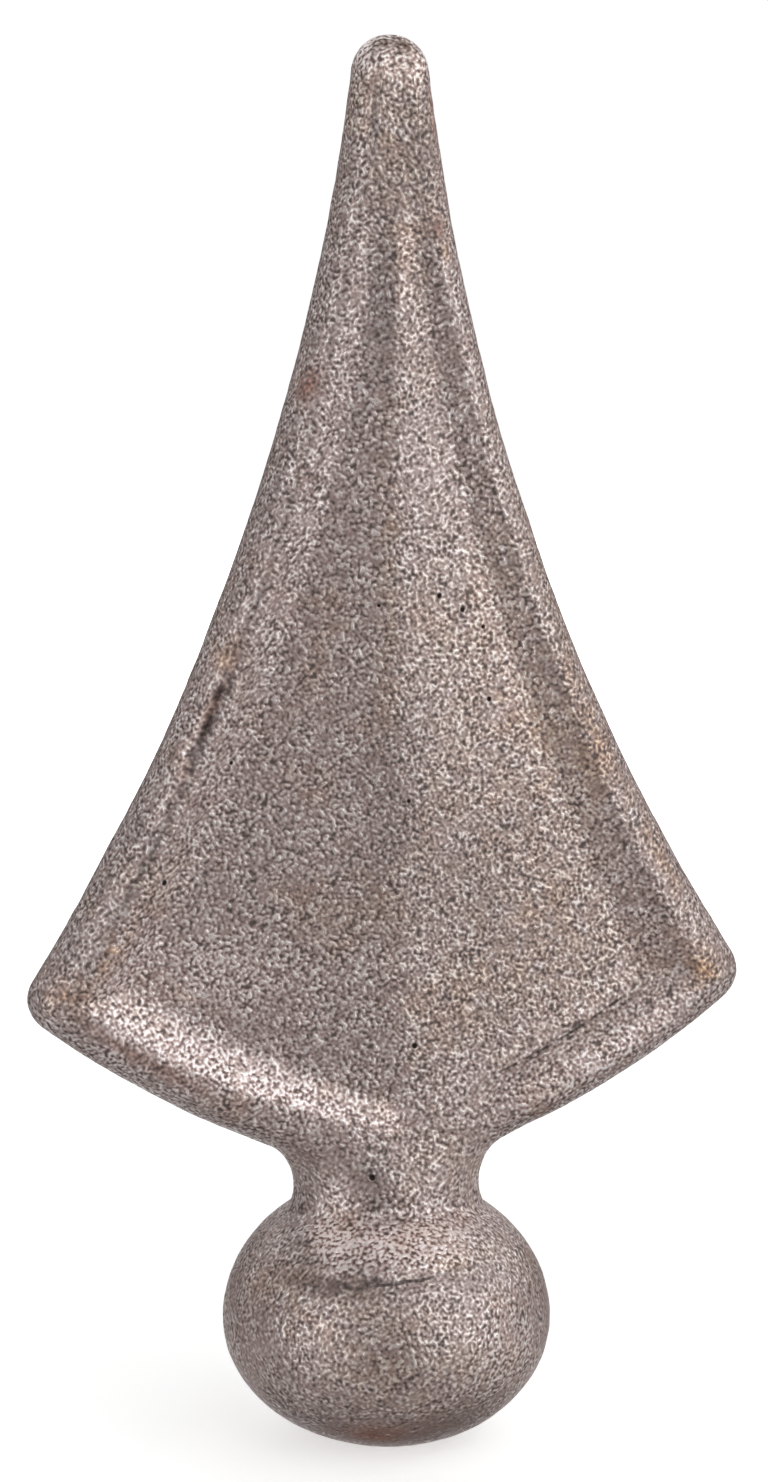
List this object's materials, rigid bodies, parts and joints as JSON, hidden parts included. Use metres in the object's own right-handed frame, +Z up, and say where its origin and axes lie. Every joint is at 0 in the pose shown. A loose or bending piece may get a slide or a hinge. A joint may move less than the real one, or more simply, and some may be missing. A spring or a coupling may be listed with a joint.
{
  "type": "fence finial",
  "caption": "Cast-iron spear-point fence finial: a ridged, raised-rim blade with swept wings over a short neck and a ball, made to be fixed on top of a picket or post.",
  "frame": {"origin": "middle of the flat under the ball, where the finial sits on its picket", "axes": "+Z up the axis from the ball to the point, X across the blade from wing to wing, -Y out of the front face"},
  "size_m": [0.0762, 0.0348, 0.1473],
  "materials": {
    "cast_iron": "bare sand-cast iron with an even, fine grain, grey-brown patina, small pits and touches of rust along the rims"
  },
  "bodies": {
    "root": {"spear_finial": "cast_iron"}
  },
  "joints": []
}
